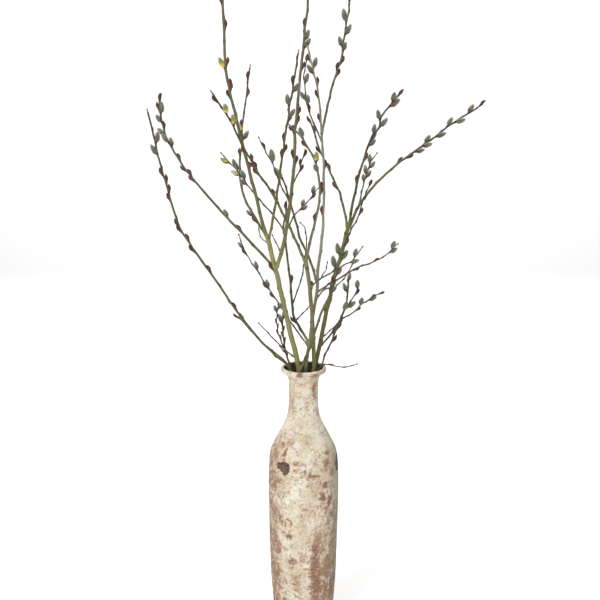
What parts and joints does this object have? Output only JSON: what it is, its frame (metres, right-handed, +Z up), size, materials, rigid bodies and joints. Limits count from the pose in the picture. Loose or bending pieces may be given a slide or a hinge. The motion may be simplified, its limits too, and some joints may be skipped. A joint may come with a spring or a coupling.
{
  "type": "willow stems in a vase",
  "caption": "Cut pussy-willow stems with grey catkins and brown buds, fanning out of a tall limewashed terracotta bottle vase.",
  "frame": {"origin": "centre of the vase's flat foot, on the surface it stands on", "axes": "+Z up along the vase's axis, -Y towards the front, +X to the viewer's right"},
  "size_m": [0.665, 0.3564, 1.2882],
  "materials": {
    "vase_limewash": "rough, pitted cream limewash worn through to pinkish terracotta in patches",
    "willow_bark": "smooth olive-green to grey-brown bark with raised nodes and red-brown bud scales",
    "catkin_fur": "silky silver-grey hairs over grey-green, some yellow at the base"
  },
  "bodies": {
    "root": {"vase_body": "vase_limewash", "vase_neck": "vase_limewash", "stem_left_outer": "willow_bark", "catkin_01": "catkin_fur", "catkin_02": "catkin_fur", "twig_left": "willow_bark", "stem_left_inner": "willow_bark", "stem_thick": "willow_bark", "catkin_03": "catkin_fur", "catkin_04": "catkin_fur", "catkin_05": "catkin_fur", "catkin_06": "catkin_fur", "catkin_07": "catkin_fur", "catkin_08": "catkin_fur", "catkin_09": "catkin_fur", "catkin_10": "catkin_fur", "catkin_11": "catkin_fur", "catkin_12": "catkin_fur", "catkin_13": "catkin_fur", "catkin_14": "catkin_fur", "catkin_15": "catkin_fur", "catkin_16": "catkin_fur", "stem_centre": "willow_bark", "catkin_17": "catkin_fur", "catkin_18": "catkin_fur", "catkin_19": "catkin_fur", "catkin_20": "catkin_fur", "catkin_21": "catkin_fur", "catkin_22": "catkin_fur", "catkin_23": "catkin_fur", "catkin_24": "catkin_fur", "catkin_25": "catkin_fur", "catkin_26": "catkin_fur", "stem_front": "willow_bark", "catkin_27": "catkin_fur", "catkin_28": "catkin_fur", "catkin_29": "catkin_fur", "catkin_30": "catkin_fur", "catkin_31": "catkin_fur", "stem_right": "willow_bark", "catkin_32": "catkin_fur", "catkin_33": "catkin_fur", "catkin_34": "catkin_fur", "catkin_35": "catkin_fur", "catkin_36": "catkin_fur", "catkin_37": "catkin_fur", "catkin_38": "catkin_fur", "catkin_39": "catkin_fur", "catkin_40": "catkin_fur", "catkin_41": "catkin_fur", "catkin_42": "catkin_fur", "catkin_43": "catkin_fur", "catkin_44": "catkin_fur", "catkin_45": "catkin_fur", "catkin_46": "catkin_fur", "catkin_47": "catkin_fur", "catkin_48": "catkin_fur", "catkin_49": "catkin_fur", "stem_right_thin": "willow_bark", "twig_on_lip": "willow_bark"}
  },
  "joints": []
}
